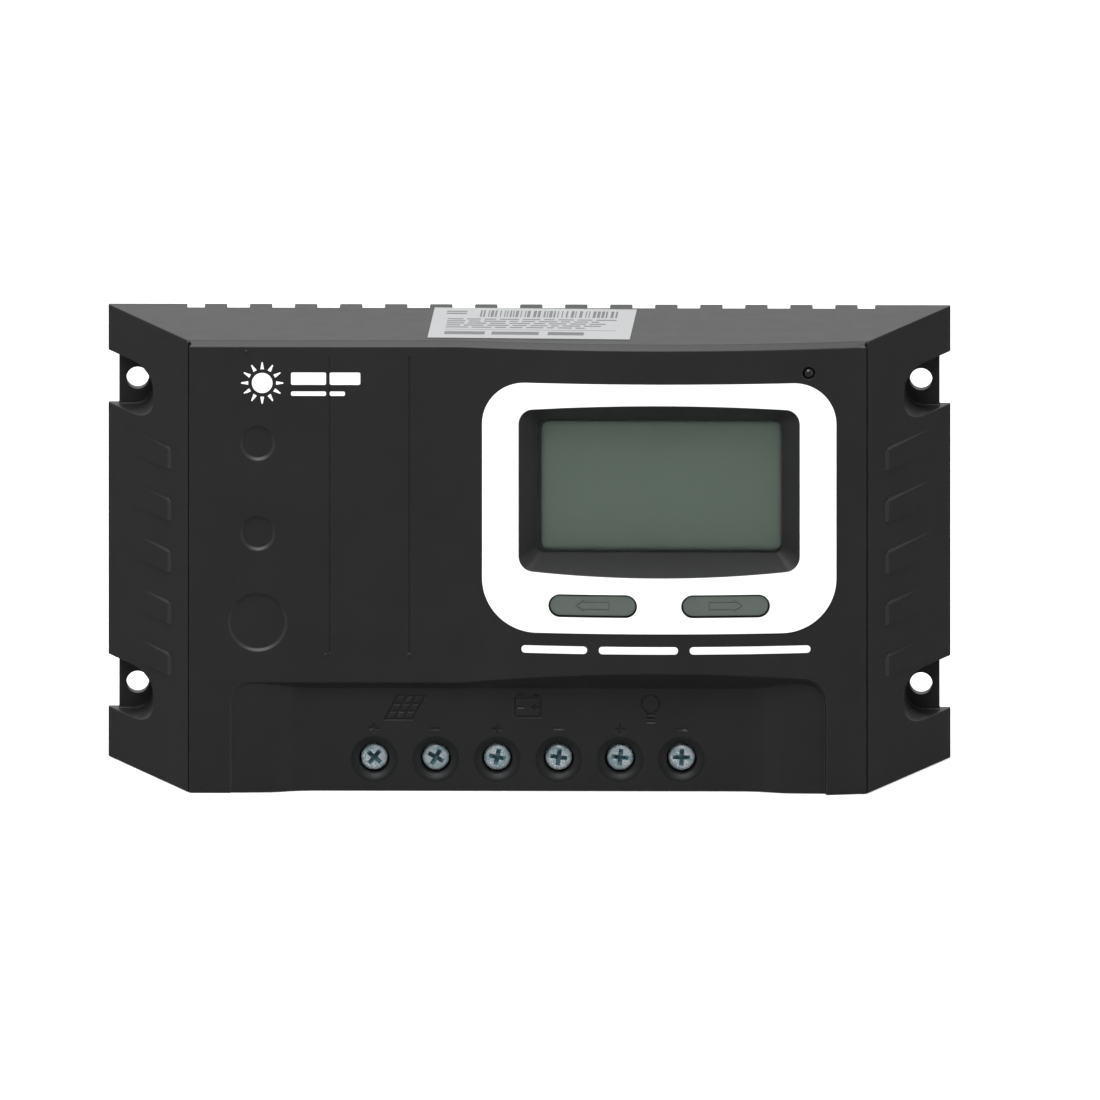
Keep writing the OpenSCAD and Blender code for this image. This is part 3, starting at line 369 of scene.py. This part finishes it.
def make_materials():
    """Materials by the record's slot, and the extra ones for print and for the painted shade in the screws'
    recesses.
    """
    made = {
        "housing": plastic("housing_plastic", (0.012, 0.012, 0.0122), tone_spread=0.07, rough=(0.4, 0.45),
                           specular=0.5, wear=0.25),
        "white_gloss": gloss("surround_white", (0.93, 0.935, 0.94), rough=(0.1, 0.16)),
        "window": clear_window("window_clear"),
        "black_trim": plastic("bezel_black", (0.008, 0.009, 0.009), grain_mm=0.1, grain_depth=0.004),
        "lcd": liquid_crystal("lcd_grey_green"),
        "tin_plate": metal("tin_plate", (0.72, 0.71, 0.69), rough=(0.25, 0.4)),
        "light_guide": plastic("light_guide_milky", (0.75, 0.77, 0.72), tone_spread=0.05, grain_depth=0.003),
        "board_green": circuit_board("solder_mask_green"),
        "zinc_screw": metal("zinc_plate", (0.68, 0.69, 0.7), tint=(0.62, 0.66, 0.72), spots=0.3),
        "chip_black": plastic("chip_epoxy", (0.014, 0.014, 0.015), grain_mm=0.12, rough=(0.5, 0.62)),
        "led": gloss("led_lens", (0.012, 0.013, 0.012), rough=(0.06, 0.1), ripple_depth=0.002),
        "button_grey": plastic("button_grey_green", (0.084, 0.1, 0.088), tone_spread=0.06, rough=(0.38, 0.5),
                               grain_mm=0.18, grain_depth=0.006, wear=0.12, round_mm=0.2),
        "terminal_black": plastic("terminal_black", (0.012, 0.012, 0.013), grain_mm=0.15),
        "contact_brass": metal("tinned_brass", (0.74, 0.62, 0.42), tint=(0.72, 0.7, 0.66)),
        "terminal_zinc": metal("blue_zinc", (0.84, 0.93, 0.97), rough=(0.16, 0.34), tint=(0.35, 0.55, 0.6),
                               spots=0.35, metallic=0.65),
        "clamp_steel": metal("clamp_zinc", (0.6, 0.62, 0.65), tint=(0.6, 0.63, 0.6), spots=0.4),
        "capacitor_sleeve": gloss("capacitor_sleeve", (0.016, 0.022, 0.06), rough=(0.2, 0.3)),
        "shunt_metal": metal("resistance_alloy", (0.58, 0.48, 0.38), rough=(0.3, 0.5)),
        "sensor_bead": gloss("epoxy_bead", (0.02, 0.06, 0.2), rough=(0.15, 0.25)),
        "pad_rubber": plastic("silicone_pad", (0.42, 0.43, 0.45), rough=(0.6, 0.75), grain_mm=0.6,
                              grain_depth=0.03),
        "sink_aluminium": metal("extruded_aluminium", (0.72, 0.73, 0.75), rough=(0.28, 0.45),
                                brush=(1, 1, 0.02), brush_mm=0.12, brush_depth=0.01, spots=0.12),
        "label_silver": gloss("label_film", (0.36, 0.37, 0.375), rough=(0.28, 0.36), ripple_mm=9,
                              ripple_depth=0.02),
    }
    extra = {
        "print_white": gloss("print_white", (0.86, 0.87, 0.87), rough=(0.3, 0.4), ripple_mm=2),
        "print_dark": plastic("print_dark", (0.13, 0.135, 0.145), grain_mm=0.1, grain_depth=0.002,
                              round_mm=0),
        # Dark teal zinc laid on the screws' cross recesses as painted shade
        "recess_painted_shade": metal("recess_zinc_painted_shade", (0.05, 0.12, 0.15), rough=(0.3, 0.5), tint=(0.2, 0.34, 0.38),
                             metallic=0.4),
    }
    return made, extra


SLOT_MATERIAL, EXTRA_MATERIAL = make_materials()


# ---------------------------------------------------------------- mesh helpers


def shade(mesh):
    """Smooth shading that keeps strongly bent edges crisp."""
    for polygon in mesh.polygons:
        polygon.use_smooth = True
    mesh.set_sharp_from_angle(angle=math.radians(CRISP_ABOVE))


def new_piece(name, bm, material, body, replaces=()):
    """A mesh object from bm, in the row frame, riding on a body."""
    mesh = bpy.data.meshes.new(name)
    bmesh.ops.recalc_face_normals(bm, faces=bm.faces)
    bm.to_mesh(mesh)
    bm.free()
    shade(mesh)
    piece = bpy.data.objects.new(name, mesh)
    bpy.context.scene.collection.objects.link(piece)
    mesh.materials.append(material)
    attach(piece, body)
    if replaces:
        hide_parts(*replaces)
    return piece


def row(x, y, z):
    """A point given in millimetres from the housing's middle, in the row frame."""
    return Vector((x, y, z - MOUNT_RISE)) * MM


def pole_x(index):
    """Sideways place of a terminal, counted from 1, in millimetres."""
    return (index - (POLES + 1) / 2) * POLE_PITCH


def crown_y(x):
    """Depth of the front at sideways place x, in millimetres."""
    off = x - CROWN_X
    if abs(off) >= CROWN_W / 2:
        return -FACE_DEPTH
    return -FACE_DEPTH - CROWN_H + CROWN_R - math.sqrt(CROWN_R**2 - off**2)


def closed_prism(bm, front, back):
    """A solid between two rings of the same length."""
    a = [bm.verts.new(p) for p in front]
    b = [bm.verts.new(p) for p in back]
    bm.faces.new(a)
    bm.faces.new(b[::-1])
    for k in range(len(a)):
        n = (k + 1) % len(a)
        bm.faces.new((a[k], b[k], b[n], a[n]))


def bar_outline(x0, x1, z0, z1, radius, steps=6):
    """A bar with round corners, as points in X and Z."""
    points = []
    for cx, cz, start in ((x1 - radius, z1 - radius, 0), (x0 + radius, z1 - radius, 90),
                          (x0 + radius, z0 + radius, 180), (x1 - radius, z0 + radius, 270)):
        for k in range(steps + 1):
            a = math.radians(start + 90 * k / steps)
            points.append((cx + radius * math.cos(a), cz + radius * math.sin(a)))
    return points


def circle_outline(x, z, radius, steps=48):
    """A circle as points in X and Z."""
    turns = (math.tau * k / steps for k in range(steps))
    return [(x + radius * math.cos(a), z + radius * math.sin(a)) for a in turns]


def front_print(name, outlines):
    """Raised ink on the front: flat outlines in X and Z, laid on the face and the crown."""
    bm = bmesh.new()
    for outline in outlines:
        bm.faces.new([bm.verts.new((x, 0, z)) for x, z in outline])
    low = min(v.co.x for v in bm.verts)
    high = max(v.co.x for v in bm.verts)
    for k in range(1, int((high - low) / PRINT_STEP) + 1):
        geom = bm.verts[:] + bm.edges[:] + bm.faces[:]
        bmesh.ops.bisect_plane(bm, geom=geom, plane_co=(low + k * PRINT_STEP, 0, 0), plane_no=(1, 0, 0))
    for v in bm.verts:
        v.co = row(v.co.x, crown_y(v.co.x) + PRINT_SINK, v.co.z)
    skin = bmesh.ops.extrude_face_region(bm, geom=bm.faces[:])["geom"]
    raised = [g for g in skin if isinstance(g, bmesh.types.BMVert)]
    bmesh.ops.translate(bm, verts=raised, vec=(0, -(PRINT_LIFT + PRINT_SINK) * MM, 0))
    new_piece(name, bm, EXTRA_MATERIAL["print_white"], ROOT)


def refined(node, name, radius, segments=2, keep_sharp=None):
    """A welded copy of a CAD node with its edges rounded, standing for it.

    keep_sharp takes an edge's middle, in millimetres from the housing's middle, and says
    whether the edge belongs to relief too fine to round.
    """
    bm = bmesh.new()
    bm.from_mesh(frame["nodes"][node].data)
    bmesh.ops.remove_doubles(bm, verts=bm.verts, dist=WELD)
    bmesh.ops.dissolve_limit(bm, angle_limit=math.radians(0.5), verts=bm.verts, edges=bm.edges)
    sharp = []
    for edge in bm.edges:
        if edge.is_manifold and edge.calc_face_angle(0) > math.radians(ROUND_ABOVE):
            middle = (edge.verts[0].co + edge.verts[1].co) / (2 * MM) + Vector((0, 0, MOUNT_RISE))
            if not (keep_sharp and keep_sharp(middle)):
                sharp.append(edge)
    bmesh.ops.bevel(bm, geom=sharp, offset=radius * MM, offset_type="OFFSET", segments=segments,
                    profile=0.5, affect="EDGES", clamp_overlap=False, loop_slide=True)
    slot = MATERIAL_SLOTS[node]
    piece = new_piece(name, bm, SLOT_MATERIAL[slot], BODY_OF[node], (node,))
    normals = piece.modifiers.new("even_normals", "WEIGHTED_NORMAL")
    normals.mode, normals.weight, normals.keep_sharp = "FACE_AREA", 100, True
    return piece


# ---------------------------------------------------------------- pieces


def dress_cad_nodes():
    """Materials for the CAD nodes, by their slot in the record."""
    for name, obj in frame["nodes"].items():
        obj.data.materials.clear()
        obj.data.materials.append(SLOT_MATERIAL[MATERIAL_SLOTS[name]])


def within(value, limits):
    """Whether a value lies between two limits."""
    return limits[0] < value < limits[1]


def fine_relief(p):
    """Whether a point of the housing belongs to relief that is too fine to round."""
    signs = within(p.x, SIGNS_X) and within(p.y, SIGNS_Y) and within(p.z, SIGNS_Z)
    on_face = p.y < FACE_NEAR - FACE_DEPTH
    groove = on_face and min(abs(p.x - x) for x in GROOVES_X) < GROOVE_NEAR
    crease = on_face and abs(abs(p.x) - FLANK_X) < CREASE_NEAR
    from_mount = math.hypot(abs(p.x) - MOUNT_X, abs(p.z - MOUNT_RISE) - MOUNT_Z)
    hole_rim = p.y > -FLANGE_T and abs(from_mount - MOUNT_R) < HOLE_NEAR
    pip = min(math.hypot(p.x - x, p.z - z) for x, z in PIPS) < PIP_NEAR
    rib = within(abs(p.x), RIBS_X) and within(p.z, RIBS_Z)
    return signs or groove or crease or hole_rim or pip or rib


def paint_well_shade(piece):
    """Darker, smoother plastic painted into the terminal screws' funnels as painted shade; the flat face
    around them stays.
    """
    piece.data.materials.append(SLOT_MATERIAL["black_trim"])
    places = [row(pole_x(index), 0, SCREW_Z) for index in range(1, POLES + 1)]
    for polygon in piece.data.polygons:
        off = min(math.hypot(polygon.center.x - p.x, polygon.center.z - p.z) for p in places)
        if off < WELL_R * MM and abs(polygon.normal.y) < 0.98:
            polygon.material_index = 1


def arrow_relief(p):
    """Whether a point of a button belongs to its engraved arrow."""
    return abs(p.z - BUTTON_Z) < ARROW_HALF_H and abs(abs(p.x - CROWN_X) - BUTTON_OFF) < ARROW_HALF_W


def turned(profile, steps=48):
    """A solid of revolution about Y from pairs of radius and depth, in millimetres."""
    bm = bmesh.new()
    verts = [bm.verts.new((r * MM, y * MM, 0)) for r, y in profile]
    edges = [bm.edges.new(pair) for pair in zip(verts, verts[1:])]
    bmesh.ops.spin(bm, geom=verts + edges, cent=(0, 0, 0), axis=(0, 1, 0), angle=math.tau, steps=steps)
    bmesh.ops.remove_doubles(bm, verts=bm.verts, dist=WELD)
    bmesh.ops.recalc_face_normals(bm, faces=bm.faces)
    return bm


def carved(bm, tool):
    """bm with the tool's volume cut out of it; the cut's faces take the second material, the recess's
    painted shade.
    """
    for face in tool.faces:
        face.material_index = 1
    body, cutter = mesh_object("cut_body", bm), mesh_object("cut_tool", tool)
    for temp in (body, cutter):
        for material in (SLOT_MATERIAL["terminal_zinc"], EXTRA_MATERIAL["recess_painted_shade"]):
            temp.data.materials.append(material)
    modifier = body.modifiers.new("recess", "BOOLEAN")
    modifier.object, modifier.operation, modifier.solver = cutter, "DIFFERENCE", "EXACT"
    cut = bmesh.new()
    cut.from_mesh(body.evaluated_get(bpy.context.evaluated_depsgraph_get()).to_mesh())
    for temp in (body, cutter):
        bpy.data.objects.remove(temp)
    if not cut.faces:
        raise RuntimeError("the recess removed the whole piece")
    return cut


def mesh_object(name, bm):
    """A plain object in the scene, made from bm."""
    mesh = bpy.data.meshes.new(name)
    bm.to_mesh(mesh)
    bm.free()
    obj = bpy.data.objects.new(name, mesh)
    bpy.context.scene.collection.objects.link(obj)
    return obj


def cross_recess(front, size, depth):
    """The tapered cross that a driver's tip fills; size is half its length at the front."""
    bm = bmesh.new()
    rings = []
    above, below = (front - 0.4, size + 0.2, size * 0.27), (front + depth, size * 0.36, size * 0.14)
    for y, reach, half in (above, below):
        corners = []
        for quarter in range(4):
            turn = Matrix.Rotation(quarter * math.pi / 2, 2)
            corners += [turn @ Vector(c) for c in ((half, -half), (reach, -half), (reach, half))]
        rings.append([Vector((c.x, y, c.y)) * MM for c in corners])
    closed_prism(bm, *rings)
    bmesh.ops.recalc_face_normals(bm, faces=bm.faces)
    return bm


def threaded_profile(radius, start, end, pitch, deep):
    """Ridges of a thread from start to end, seen as a half outline, with a short point."""
    profile, y = [], start
    while y < end - 1.2 * pitch:
        profile += [(radius, y), (radius - deep, y + pitch * 0.45)]
        y += pitch
    return profile + [(radius - deep, end - 0.4), (radius - 2 * deep, end), (0, end)]


def terminal_screw(index):
    """A domed head with a cross recess, and a rolled thread below it."""
    low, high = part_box(f"terminal_screw_{index}")
    front, tip = low[1] / MM, high[1] / MM
    back = front + SCREW_HEAD_T
    profile = [(r, front + y) for r, y in SCREW_DOME]
    profile += [(SCREW_HEAD_R, back - 0.12), (SCREW_HEAD_R - 0.12, back), (SCREW_R, back)]
    profile += threaded_profile(SCREW_R - 0.02, back + 0.2, tip, **SCREW_THREAD)
    cut = carved(turned(profile), cross_recess(front, **SCREW_RECESS))
    turn = Matrix.Rotation(math.radians(SCREW_TURNS[index - 1]), 4, "Y")
    cut.transform(Matrix.Translation(row(pole_x(index), 0, SCREW_Z)) @ turn)
    screw = new_piece(f"clamp_screw_{index}", cut, SLOT_MATERIAL["terminal_zinc"], f"screw_{index}",
                      (f"terminal_screw_{index}",))
    # The cross recess takes the dark zinc of painted shade
    screw.data.materials.append(EXTRA_MATERIAL["recess_painted_shade"])


def pan_screws(name, node, middle_x, half_x, low_z, high_z, head, shank):
    """Pan head screws that come in from the back, at the corners of a rectangle in X and Z."""
    head_r, head_h = head
    shank_r, pitch = shank
    spots = [(middle_x + x, z) for x in (-half_x, half_x) for z in (low_z, high_z)]
    low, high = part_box(node)
    top, tip = high[1] / MM, low[1] / MM
    front, end = -top, -tip
    seat = front + head_h
    profile = [(0, front), (head_r * 0.5, front + 0.02), (head_r * 0.78, front + 0.14 * head_h),
               (head_r * 0.94, front + 0.36 * head_h), (head_r, front + 0.62 * head_h), (head_r, seat - 0.1),
               (head_r - 0.1, seat), (shank_r, seat)]
    profile += threaded_profile(shank_r - 0.01, seat + 0.15, end, pitch, shank_r * 0.16)
    bm = bmesh.new()
    for k, (x, z) in enumerate(spots):
        one = carved(turned(profile, 40), cross_recess(front, head_r * 0.62, head_h * 0.6))
        turn = Matrix.Rotation(math.pi, 4, "Z") @ Matrix.Rotation(0.4 + 1.1 * k, 4, "Y")
        one.transform(Matrix.Translation(row(x, 0, z)) @ turn)
        part = bpy.data.meshes.new(name + "_part")
        one.to_mesh(part)
        one.free()
        bm.from_mesh(part)
        bpy.data.meshes.remove(part)
    slot = MATERIAL_SLOTS[node]
    screws = new_piece(name, bm, SLOT_MATERIAL[slot], BODY_OF[node], (node,))
    # The cross recesses take the dark zinc of painted shade
    screws.data.materials.append(EXTRA_MATERIAL["recess_painted_shade"])


def front_marks():
    """White marks that spell nothing: a sun sign with bars, and three bars on the crown."""
    rays = []
    for k in range(SUN_RAYS):
        turn = Matrix.Rotation(math.tau * k / SUN_RAYS, 2)
        corners = ((RAY_FROM, RAY_BASE), (RAY_TO, RAY_TIP), (RAY_TO, -RAY_TIP), (RAY_FROM, -RAY_BASE))
        spun = [turn @ Vector(c) for c in corners]
        rays.append([(SUN_X + p.x, SUN_Z + p.y) for p in spun])
    front_print("front_sun_sign", [circle_outline(SUN_X, SUN_Z, SUN_R)] + rays)
    front_print("front_sign_bars", [bar_outline(*bar, SIGN_CORNER_R) for bar in SIGN_BARS])
    front_print("front_line_bars", [bar_outline(*bar, LINE_CORNER_R) for bar in LINE_BARS])


def label_print():
    """Bars and rows of dashes on the top label, turned with it."""
    rng = random.Random(7)
    low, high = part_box("top_label")
    top = high[2] / MM + MOUNT_RISE
    turn = Matrix.Rotation(math.radians(LABEL_TURN), 2)
    centre = (Vector(low[:2]) + Vector(high[:2])) / (2 * MM)
    bm = bmesh.new()

    def patch(x0, x1, y0, y1):
        corners = [centre + turn @ Vector(c) for c in ((x0, y0), (x1, y0), (x1, y1), (x0, y1))]
        rings = [[row(c.x, c.y, top + lift) for c in corners] for lift in (0.02, -0.01)]
        closed_prism(bm, *rings)

    x = CODE_X[0]
    while x < CODE_X[1]:
        width = rng.choice((0.25, 0.4, 0.65))
        patch(x, x + width, *CODE_Y)
        x += width + rng.choice((0.3, 0.45, 0.7))
    for line, y in enumerate(DASH_ROWS):
        x = DASH_X[0]
        while x < DASH_X[1] - line * DASH_SHORTER:
            length = rng.uniform(1.5, 5.0)
            patch(x, x + length, y, y + DASH_H)
            x += length + DASH_GAP
    for bar in LABEL_BARS:
        patch(*bar)
    new_piece("label_print", bm, EXTRA_MATERIAL["print_dark"], ROOT)


# ---------------------------------------------------------------- stage


def paint_surroundings(tree):
    """A dim studio that is brighter above, behind and beside the object, by direction."""
    background = tree.nodes["Background"]
    direction = tree.nodes.new("ShaderNodeTexCoord").outputs["Generated"]
    parts = tree.nodes.new("ShaderNodeSeparateXYZ")
    tree.links.new(direction, parts.inputs[0])

    def between(value, at, to):
        made = tree.nodes.new("ShaderNodeMapRange")
        made.interpolation_type = "SMOOTHSTEP"
        tree.links.new(value, made.inputs["Value"])
        for name, number in zip(("From Min", "From Max", "To Min", "To Max"), at + to):
            made.inputs[name].default_value = number
        return made.outputs["Result"]

    def combine(operation, a, b):
        made = tree.nodes.new("ShaderNodeMath")
        made.operation = operation
        for socket, value in zip(made.inputs, (a, b)):
            if isinstance(value, bpy.types.NodeSocket):
                tree.links.new(value, socket)
            else:
                socket.default_value = value
        return made.outputs[0]

    sideways = combine("ABSOLUTE", parts.outputs["X"], 0)
    behind = combine("MULTIPLY", between(parts.outputs["Y"], (0.6, 0.92), (0, BACK_LEVEL)),
                     between(parts.outputs["Z"], (-0.05, 0.1), (0, 1)))
    above = between(parts.outputs["Z"], (0.3, 0.95), (0, TOP_LEVEL))
    beside = combine("MULTIPLY", between(sideways, (0.6, 0.85), (0, SIDE_LEVEL)),
                     between(parts.outputs["Y"], (0.35, 0.1), (0, 1)))
    glow = combine("MAXIMUM", combine("MAXIMUM", behind, above), beside)
    tree.links.new(combine("ADD", glow, DIM_LEVEL), background.inputs["Strength"])
    background.inputs["Color"].default_value = (1, 1, 1, 1)


def make_stage():
    """A pale floor, the surroundings and two softboxes."""
    bm = bmesh.new()
    bmesh.ops.create_grid(bm, x_segments=1, y_segments=1, size=FLOOR_HALF)
    floor = mesh_object("floor", bm)
    floor.location = (0, 0, cad_box[0].z - FLOOR_GAP)
    s = Shader("floor_pale")
    s.link(s.blend(s.noise(120, detail=3), (0.93, 0.93, 0.93), (0.96, 0.96, 0.96)), "Base Color")
    s.set(Roughness=0.9, Specular_IOR_Level=0.1, Emission_Color=(1, 1, 1, 1), Emission_Strength=0.35)
    floor.data.materials.append(s.mat)
    floor.visible_glossy = False

    world = bpy.data.worlds.new("studio")
    bpy.context.scene.world = world
    world.use_nodes = True
    paint_surroundings(world.node_tree)

    for name, (place, size, power) in SOFTBOXES.items():
        light = bpy.data.lights.new(name, "AREA")
        light.shape, light.size, light.size_y, light.energy = "RECTANGLE", *size, power
        obj = bpy.data.objects.new(name, light)
        obj.location = place
        obj.rotation_euler = (-Vector(place)).to_track_quat("-Z", "Y").to_euler()
        obj.visible_camera = False
        bpy.context.scene.collection.objects.link(obj)


def make_camera():
    """A parallel view from just above the horizon and a hair to the right, framed as pictured."""
    rise, turn = math.radians(CAMERA_RISE), math.radians(CAMERA_TURN)
    back = Vector((math.sin(turn) * math.cos(rise), -math.cos(turn) * math.cos(rise), math.sin(rise)))
    data = bpy.data.cameras.new("camera")
    data.type, data.ortho_scale = "ORTHO", CAMERA_WIDTH * MM
    data.clip_start, data.clip_end = 0.05, 60
    camera = bpy.data.objects.new("camera", data)
    camera.location = Vector(CAMERA_TARGET) * MM + back * CAMERA_AWAY
    camera.rotation_mode = "QUATERNION"
    camera.rotation_quaternion = (-back).to_track_quat("-Z", "Y")
    bpy.context.scene.collection.objects.link(camera)
    bpy.context.scene.camera = camera
    bpy.context.scene.view_settings.view_transform = "Standard"


make_camera()
make_stage()
dress_cad_nodes()
# The housing, with painted shade in the terminal screws' funnels
paint_well_shade(refined("front_housing", "housing_shell", HOUSING_ROUND, keep_sharp=fine_relief))
for side_name in ("left", "right"):
    refined(f"{side_name}_button", f"{side_name}_key_cap", KEY_CAP_ROUND, 3, keep_sharp=arrow_relief)
for node_name, piece_name, edge_radius, edge_segments in ROUNDED:
    refined(node_name, piece_name, edge_radius, edge_segments)
for number in range(1, POLES + 1):
    terminal_screw(number)
    refined(f"wire_clamp_{number}", f"clamp_cage_{number}", CAGE_ROUND)
pan_screws("rear_screws", "housing_screws", 0, **HOUSING_SCREWS)
pan_screws("display_board_screws", "display_screws", CROWN_X, **DISPLAY_SCREWS)
front_marks()
label_print()
